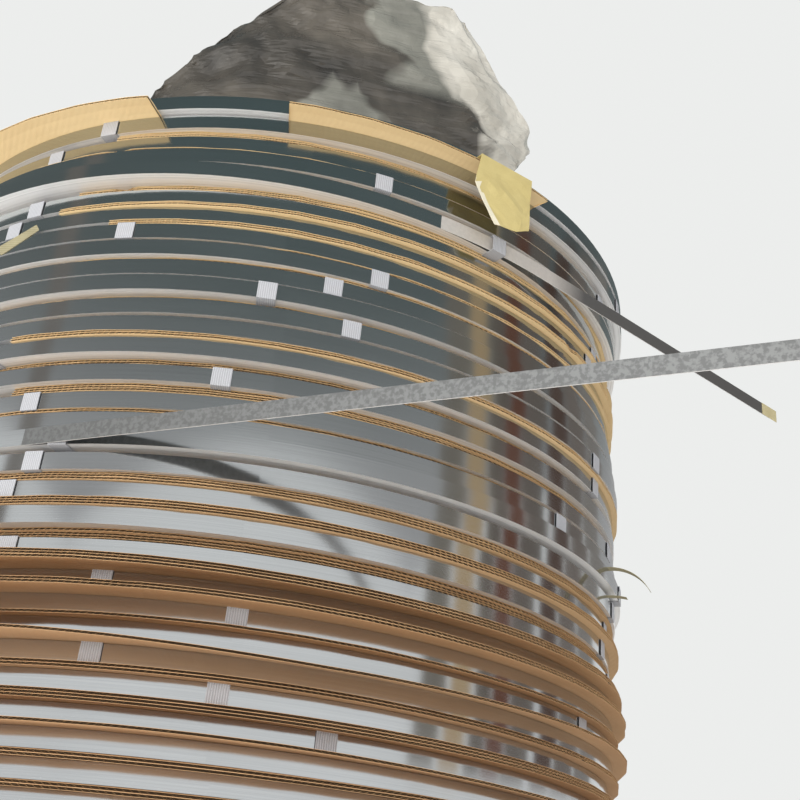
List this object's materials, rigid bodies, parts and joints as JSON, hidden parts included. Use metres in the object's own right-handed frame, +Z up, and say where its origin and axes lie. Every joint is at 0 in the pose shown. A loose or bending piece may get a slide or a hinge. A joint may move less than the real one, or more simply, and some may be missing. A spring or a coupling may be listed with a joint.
{
  "type": "stack of slit steel coils",
  "caption": "Pile of narrow slit-steel coils laid flat with corrugated cardboard between them, woven straps, loose strip ends and crumpled film on top.",
  "frame": {"origin": "centre of the pile's axis on the floor, at the underside of its lowest cardboard", "axes": "+Z up along the coils' bores, -Y towards the front that the picture shows, +X to the right"},
  "size_m": [1.2284, 1.3123, 1.0902],
  "materials": {
    "steel_strip": "cold-rolled bright",
    "corrugated_board": "matte",
    "woven_strap": "woven",
    "paper": "matte",
    "masking_tape": "matte",
    "plastic_film": "glossy thin film"
  },
  "bodies": {
    "root": {"cardboard_01_03": "corrugated_board", "cardboard_04_06": "corrugated_board", "cardboard_07_09": "corrugated_board", "cardboard_10_12": "corrugated_board", "cardboard_13_15": "corrugated_board", "cardboard_16_18": "corrugated_board", "cardboard_19_21": "corrugated_board", "cardboard_22_24": "corrugated_board", "cardboard_25_27": "corrugated_board", "cardboard_28_29": "corrugated_board", "coil_01": "steel_strip", "coil_02": "steel_strip", "coil_03": "steel_strip", "coil_04": "steel_strip", "coil_05": "steel_strip", "coil_06": "steel_strip", "coil_07": "steel_strip", "coil_08": "steel_strip", "coil_09": "steel_strip", "coil_10": "steel_strip", "coil_11": "steel_strip", "coil_12": "steel_strip", "coil_13": "steel_strip", "coil_14": "steel_strip", "coil_15": "steel_strip", "coil_16": "steel_strip", "coil_17": "steel_strip", "coil_18": "steel_strip", "coil_19": "steel_strip", "coil_20": "steel_strip", "coil_21": "steel_strip", "coil_22": "steel_strip", "coil_23": "steel_strip", "coil_24": "steel_strip", "coil_25": "steel_strip", "coil_26": "steel_strip", "coil_27": "steel_strip", "coil_28": "steel_strip", "coil_29": "steel_strip", "face_tape": "masking_tape", "hidden_cardboard": "corrugated_board", "hidden_coils": "steel_strip", "hidden_straps": "woven_strap", "long_rim_tape": "masking_tape", "paper_flap": "paper", "plastic_film": "plastic_film", "short_rim_tape": "masking_tape", "straps": "woven_strap", "tail_tape": "masking_tape"}
  },
  "joints": []
}
